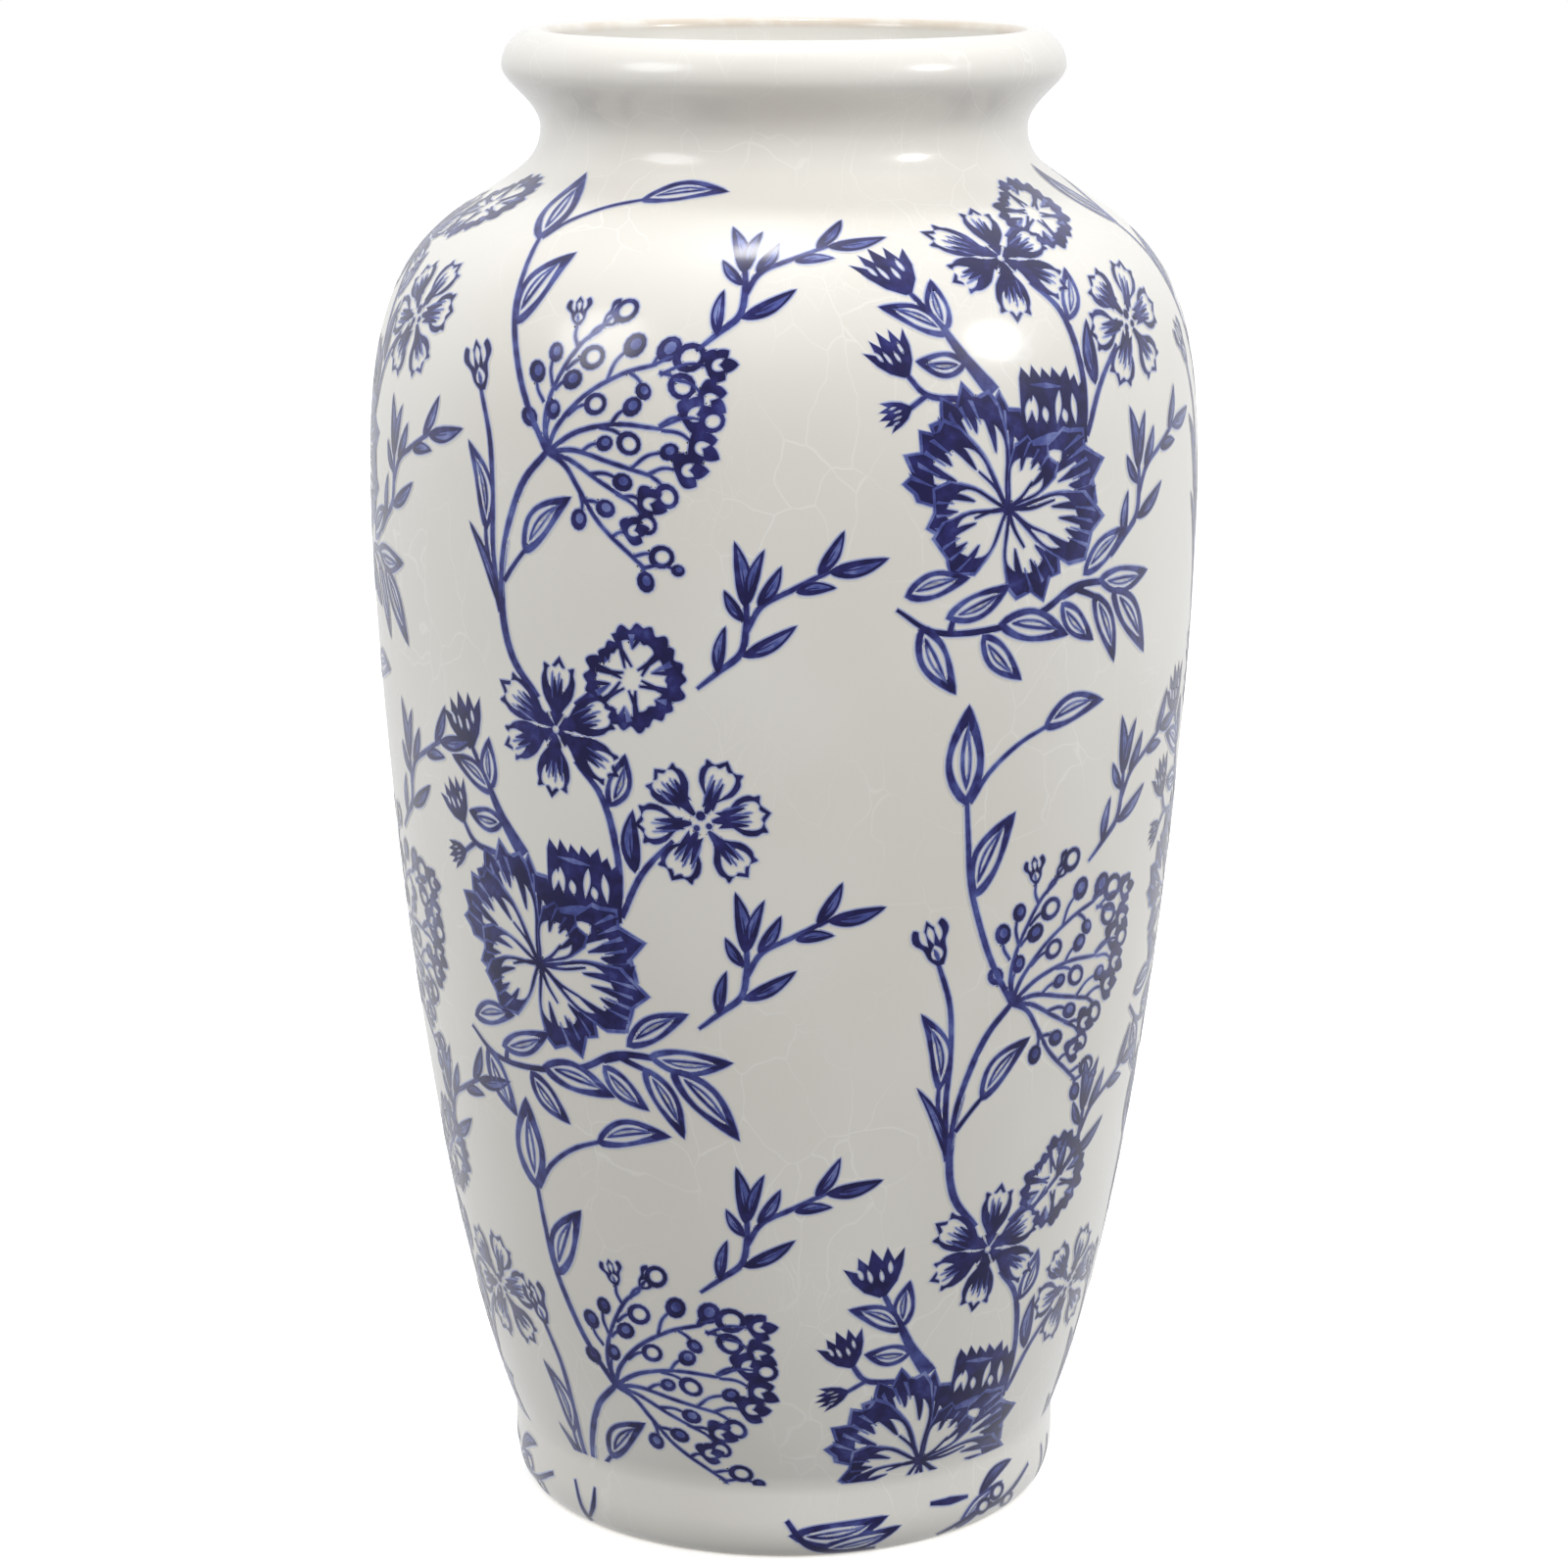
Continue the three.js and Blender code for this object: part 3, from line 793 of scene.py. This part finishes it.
def peony():
    """The big open flower, its petals painted from the back to the front."""
    hub = PEONY_HUB
    shapes = []
    for number, petal_sizes in enumerate(PEONY_PETALS):
        if number == 2:
            shapes += upright_cup(hub + pt(3.2, 10.6))
        shapes += broad_petal(hub, *petal_sizes)
    shapes.append((INK, spot(hub, 1.1, 10)))
    for turn, length in ((4, 9), (40, 6), (130, 8), (190, 6), (-64, 7), (-31, 9)):
        line = [hub, hub + heading(turn - 7) * length * 0.5, hub + heading(turn) * length]
        shapes.append((INK, stroke(line, 0.8, 0.5, 0.3)))
    return shapes


# The leaves of the spray under the peony: root, tip, width and shaded side, from the peony's hub.
SPRAY_LEAVES = [
    ((-17.4, -12.6), (-6.6, -10.2), 4.2, 1), ((-10.6, -16.4), (0.8, -11.8), 4.2, -1),
    ((-14.6, -17.2), (-8.4, -28.6), 5.0, -1), ((-4.2, -19.4), (3.4, -27.4), 4.2, -1),
    ((-1.4, -18.0), (12.6, -21.2), 5.2, 1), ((10.8, -15.8), (18.4, -22.8), 4.0, -1),
    ((15.4, -12.0), (26.4, -5.4), 4.2, 1), ((19.0, -13.2), (33.0, -13.4), 4.4, -1),
    ((18.0, -15.2), (24.0, -27.2), 4.2, 1), ((22.6, -15.0), (33.0, -27.0), 5.2, 1),
]


def spray():
    """The branch of leaves under the peony."""
    hub = PEONY_HUB
    stem = [(-18.6, -14.6), (-12.4, -18.4), (-3.4, -18.8), (6.4, -17), (13.6, -13.6), (22, -13.6)]
    shapes = [(INK, stroke([hub + pt(*p) for p in stem], 0.5, 0.9, 1.0, 1.1, 1.0))]
    twigs = [((-9.8, -18.6), (-9.2, -16)), ((11, -15), (15.6, -13.6)), ((13.4, -13.8), (19, -16))]
    for start, stop in twigs:
        shapes.append((INK, stroke([hub + pt(*start), hub + pt(*stop)], 1.0, 0.8)))
    for root, tip, width, shade in SPRAY_LEAVES:
        shapes += leaf(hub + pt(*root), hub + pt(*tip), width, 0.05 * shade, shade)
    return shapes


# The sprig's leaves: root, tip, width and shaded side.
SPRIG_LEAVES = [
    ((-11.4, -10.0), (-10.2, -2.4), 2.0, 1), ((-7.6, -7.2), (0.8, -2.2), 2.4, -1),
    ((-7.4, -1.6), (-10.4, 3.2), 1.9, 1),
    ((-7.2, 0.6), (-8.8, 10.8), 2.6, -1), ((-6.8, 1.0), (-4.2, 9.6), 2.0, 1),
    ((-5.2, 0.8), (-1.6, 7.0), 2.2, -1), ((0.6, 3.0), (6.8, 3.6), 2.0, 1),
    ((4.0, 5.6), (8.0, 12.4), 2.2, -1), ((5.6, 6.0), (15.0, 8.0), 2.6, -1),
]


def sprig():
    """A small branch of dark leaves that rises to the right."""
    lines = [
        ([(-14.6, -12.4), (-11, -9.4), (-7.8, -6.6), (-7, -2.4), (-7, 1.6)], (0.5, 1.0, 1.0, 0.8)),
        ([(-7.2, -3.6), (-4.6, 0.8), (0.2, 3.4), (5.8, 6.2)], (0.9, 0.8, 0.7)),
    ]
    shapes = [(LINE, stroke(points, *widths)) for points, widths in lines]
    for root, tip, width, shade in SPRIG_LEAVES:
        shapes += dark_leaf(root, tip, width, 0.05 * shade, shade)
    return shapes


def foot_scraps():
    """The ends of leaves and stems that show on the foot band, below the print's cut edge."""
    shapes = leaf((-9, 6.4), (8, 8.8), 4.8, -0.08, 1)
    shapes += leaf((-4, 3.4), (10.4, 6.6), 3.6, -0.05, -1)
    shapes.append((INK, stroke([(-9.4, 9.2), (-6, 4.6), (-1, 2.4), (6, 2.2)], 0.8, 1.2, 0.9)))
    shapes.append((INK, stroke([(16, 9.4), (20, 9.0), (24, 8.8)], 0.6, 1.4, 0.5)))
    shapes += leaf((22, 2.4), (33, 9.0), 3.4, 0.08, 1)
    shapes.append((INK, stroke([(18, 2.2), (26, 4.8), (34, 5.4), (42, 9)], 0.8, 1.1, 0.7)))
    for x, y in ((28, 5.6), (31.5, 7.4), (35, 4.4)):
        shapes += berry(pt(x, y), 1.7)
    shapes.append((INK, stroke([(-46, 2.4), (-48.4, 5.4), (-50, 10)], 1.0, 0.8, 0.5)))
    shapes.append((INK, stroke([(-46.4, 3.6), (-45.4, 6.6), (-45, 10)], 0.6, 1.0, 0.4)))
    shapes += dark_leaf((-72, 8.4), (-63, 12), 2.4, 0.1, 1)
    return shapes


# ---------------------------------------------------------------- laying the print on the vase

FILM_LIFT, HALO_LIFT = 0.07, 0.045
HALO_WIDTH = 0.45
MESH_STEP = 2.6  # spacing of the points added so that large shapes follow the vase's curve
MESH_SHIFT_X, MESH_SHIFT_Y = 0.13, 0.17  # keeps those points off the shapes' own corners
PRINT_LOW, PRINT_HIGH = 15.6, 243.0


def covered(outline, spots):
    """Which spots an outline winds round."""
    x, y = spots[:, 0], spots[:, 1]
    turns = np.zeros(len(spots), int)
    for (x0, y0), (x1, y1) in zip(outline, np.roll(outline, -1, axis=0)):
        side = (x1 - x0) * (y - y0) - (x - x0) * (y1 - y0)
        turns += (y0 <= y) & (y1 > y) & (side > 0)
        turns -= (y0 > y) & (y1 <= y) & (side < 0)
    return turns != 0


def flatten(shapes, low, high):
    """Cuts painted shapes into triangles, each with the tone of the last shape laid over it.

    Only what lies between the heights low and high is kept, and bare glaze is left out.
    """
    outlines = [outline for _, outline in shapes]
    every = np.vstack(outlines)
    left, right = every[:, 0].min() - 1, every[:, 0].max() + 1
    low, high = max(low, every[:, 1].min() - 1), min(high, every[:, 1].max() + 1)
    sheet = np.array([(left, low), (right, low), (right, high), (left, high)])
    points, lines = [], []
    for outline in outlines + [sheet]:
        first, count = len(points), len(outline)
        points += [Vector(p) for p in outline]
        lines += [(first + step, first + (step + 1) % count) for step in range(count)]
    for x in np.arange(left, right, MESH_STEP):
        for y in np.arange(low, high, MESH_STEP):
            points.append(Vector((x + MESH_SHIFT_X, y + MESH_SHIFT_Y)))
    found, _, triangles, _, _, _ = delaunay_2d_cdt(points, lines, [], 0, 1e-4)
    found, triangles = np.array([tuple(p) for p in found]), np.array(triangles)
    middles = found[triangles].mean(axis=1)
    tones = np.zeros(len(triangles))
    for tone, outline in shapes:
        near = np.all((middles >= outline.min(axis=0)) & (middles <= outline.max(axis=0)), axis=1)
        near = np.flatnonzero(near)
        tones[near[covered(outline, middles[near])]] = tone
    inked = (tones > BARE) & (middles[:, 1] > low) & (middles[:, 1] < high)
    return found, triangles[inked].tolist(), tones[inked].tolist()


def halo(points, triangles):
    """A thin border round the inked triangles: its points, its faces and each face corner's tone."""
    edges = {}
    for a, b, c in triangles:
        for first, second in ((a, b), (b, c), (c, a)):
            if (second, first) in edges:
                del edges[(second, first)]
            else:
                edges[(first, second)] = True
    outward = {}
    for first, second in edges:
        along = points[second] - points[first]
        size = np.linalg.norm(along)
        if size < 1e-9:
            continue
        out = np.array([along[1], -along[0]]) / size
        for corner in (first, second):
            outward[corner] = outward.get(corner, 0) + out
    number, laid = {}, []
    for corner, way in outward.items():
        size = np.linalg.norm(way)
        if size < 1e-6:
            continue
        number[corner] = len(laid)
        laid += [points[corner], points[corner] + way / size * HALO_WIDTH]
    faces = []
    for first, second in edges:
        if first in number and second in number:
            faces.append([number[second], number[first], number[first] + 1, number[second] + 1])
    return np.array(laid), faces, [BLEED, BLEED, BARE, BARE]


def on_vase(points, azimuth, height, lift):
    """Places flat points on the glaze. Gives their positions in metres and the glaze's normals."""
    rise = points[:, 1] + height
    radius = np.interp(rise, PRINTED_RISE, PRINTED[:, 0])
    level = np.interp(rise, PRINTED_RISE, PRINTED[:, 1])
    out = np.interp(rise, PRINTED_RISE, PRINTED_NORMAL[:, 0])
    up = np.interp(rise, PRINTED_RISE, PRINTED_NORMAL[:, 1])
    angle = math.radians(azimuth) + points[:, 0] / radius
    reach, level = radius + out * lift, level + up * lift
    places = np.stack([reach * np.sin(angle), -reach * np.cos(angle), level], 1) * MM
    normals = np.stack([out * np.sin(angle), -out * np.cos(angle), up], 1)
    return places, normals


class Motif:
    """A part of the print, cut into triangles once and then laid on the vase as often as it repeats."""

    def __init__(self, shapes, low=-1e3, high=1e3):
        self.points, self.triangles, self.tones = flatten(shapes, low, high)
        self.halo_points, self.halo_faces, self.halo_tones = halo(self.points, self.triangles)

    def lay(self, name, azimuth, height, material):
        places, normals = on_vase(self.points, azimuth, height, FILM_LIFT)
        halo_places, halo_normals = on_vase(self.halo_points, azimuth, height, HALO_LIFT)
        offset = len(places)
        faces = [list(t) for t in self.triangles] + [[c + offset for c in face] for face in self.halo_faces]
        piece = add_object(name, np.vstack([places, halo_places]), faces)
        tones = [tone for tone in self.tones for _ in range(3)] + self.halo_tones * len(self.halo_faces)
        piece.data.attributes.new("ink", "FLOAT", "CORNER").data.foreach_set("value", tones)
        piece.data.normals_split_custom_set_from_vertices(np.vstack([normals, halo_normals]))
        piece.data.materials.append(material)
        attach(piece, "root")


# Where the garlands' hubs and the sprigs' middles lie in one repeat: azimuth in degrees, then heights
# along the glaze in millimetres. The repeat goes three times round.
REPEATS = 3
GARLANDS = {"left": (-32.1, (192, 33)), "right": (34.6, (267, 102))}
SPRIGS = {"middle": (1.0, (221, 169, 113, 66)), "side": (60.3, (186, 136, 78))}
FOOT_SCRAPS = 12.0
SCRAPS_LOW, SCRAPS_HIGH = 1.2, 13.2


def lay_round(motif, name, azimuth, height, material):
    for turn in range(REPEATS):
        motif.lay(f"{name}_{turn + 1}", azimuth + 360 / REPEATS * turn, height, material)


def lay_print(material):
    upper, lower = (umbel, upper_stems, main_stem), (side_flowers, side_buds, peony, spray)
    for side, (azimuth, heights) in GARLANDS.items():
        for row, height in enumerate(heights):
            parts = upper * (height < PRINT_HIGH) + lower
            shapes = [shape for part in parts for shape in part()]
            motif = Motif(shapes, PRINT_LOW - height, PRINT_HIGH - height)
            lay_round(motif, f"garland_{side}_{row + 1}", azimuth, height, material)
    branch = sprig()
    for side, (azimuth, heights) in SPRIGS.items():
        for row, height in enumerate(heights):
            motif = Motif(branch, PRINT_LOW - height, PRINT_HIGH - height)
            lay_round(motif, f"sprig_{side}_{row + 1}", azimuth, height, material)
    scraps = Motif(foot_scraps(), SCRAPS_LOW, SCRAPS_HIGH)
    lay_round(scraps, "foot_scraps", FOOT_SCRAPS, 0, material)


# ---------------------------------------------------------------- stage, light and camera

def area_light(name, location, target, size, power):
    light = bpy.data.lights.new(name, "AREA")
    light.shape = "ELLIPSE"
    light.size, light.size_y = size
    light.energy = power
    lamp = bpy.data.objects.new(name, light)
    lamp.location = location
    lamp.rotation_euler = (Vector(target) - Vector(location)).to_track_quat("-Z", "Y").to_euler()
    bpy.context.scene.collection.objects.link(lamp)
    return lamp


def set_stage():
    reach = 4.0
    corners = [(-reach, -reach, 0), (reach, -reach, 0), (reach, reach, 0), (-reach, reach, 0)]
    floor = add_object("floor", corners, [[0, 1, 2, 3]])
    nodes = Nodes("pale floor")
    colour = nodes.mix(nodes.noise(3, 4).outputs["Fac"], rgb(246, 246, 245), rgb(250, 250, 249))
    nodes.set(nodes.shader.inputs["Base Color"], colour)
    nodes.shader.inputs["Roughness"].default_value = 0.9
    nodes.shader.inputs["Emission Color"].default_value = (1, 1, 1, 1)
    nodes.shader.inputs["Emission Strength"].default_value = 0.4
    floor.data.materials.append(nodes.material)
    floor.visible_diffuse = False
    floor.visible_glossy = False


# The studio's own light: dim in front of the vase and below it, and brighter behind and above.
STUDIO_DIM, STUDIO_BRIGHT = 0.24, 0.98
BRIGHTER_TOWARDS = (0, 1, 0.25)
TURNING_BAND = (-0.5, 0.55)

# Lamps: place and size in metres, and power in watts. The fill isn't seen in reflections.
LIT_MIDDLE = (0, 0, 0.2)
FILL = "front fill"
LAMPS = {
    "right softbox": ((0.93, -0.46, 0.70), (0.28, 0.28), 4.2),
    "left softbox": ((-0.84, -0.56, 0.76), (0.5, 0.5), 3.4),
    "top softbox": ((-0.07, 0.08, 1.3), (0.26, 0.16), 2.6),
    FILL: ((0.1, -1.7, 1.3), (1.0, 1.0), 17.5),
}


def set_light():
    world = bpy.data.worlds.new("studio")
    world.use_nodes = True
    tree = world.node_tree
    background = tree.nodes["Background"]
    path = tree.nodes.new("ShaderNodeLightPath")
    seen = tree.nodes.new("ShaderNodeBackground")
    seen.inputs["Color"].default_value = (1, 1, 1, 1)
    way = tree.nodes.new("ShaderNodeVectorMath")
    way.operation = "DOT_PRODUCT"
    way.inputs[1].default_value = BRIGHTER_TOWARDS
    tree.links.new(tree.nodes.new("ShaderNodeTexCoord").outputs["Generated"], way.inputs[0])
    level = tree.nodes.new("ShaderNodeMapRange")
    level.interpolation_type = "SMOOTHSTEP"
    tree.links.new(way.outputs["Value"], level.inputs["Value"])
    level.inputs["From Min"].default_value, level.inputs["From Max"].default_value = TURNING_BAND
    level.inputs["To Min"].default_value, level.inputs["To Max"].default_value = STUDIO_DIM, STUDIO_BRIGHT
    tree.links.new(level.outputs["Result"], background.inputs["Strength"])
    background.inputs["Color"].default_value = (0.97, 0.985, 1.0, 1)
    chosen = tree.nodes.new("ShaderNodeMixShader")
    tree.links.new(path.outputs["Is Camera Ray"], chosen.inputs["Fac"])
    tree.links.new(background.outputs[0], chosen.inputs[1])
    tree.links.new(seen.outputs[0], chosen.inputs[2])
    tree.links.new(chosen.outputs[0], tree.nodes["World Output"].inputs["Surface"])
    bpy.context.scene.world = world
    for name, (place, size, power) in LAMPS.items():
        lamp = area_light(name, place, LIT_MIDDLE, size, power)
        lamp.visible_glossy = name != FILL


def set_camera():
    camera = bpy.data.cameras.new("camera")
    camera.sensor_width = 36.0
    camera.lens = 96.8
    holder = bpy.data.objects.new("camera", camera)
    distance, height, tilt = 703.0, 283.3, 12.88
    holder.location = (0, -distance * MM, height * MM)
    holder.rotation_euler = (math.radians(90 - tilt), 0, 0)
    bpy.context.scene.collection.objects.link(holder)
    bpy.context.scene.camera = holder


# ---------------------------------------------------------------- making the scene

def main():
    materials = {"glaze": glaze_material(), "biscuit": biscuit_material()}
    set_camera()
    set_stage()
    set_light()
    build_body(materials)
    lay_print(materials["glaze"])
    bpy.context.scene.view_settings.view_transform = "Standard"


main()
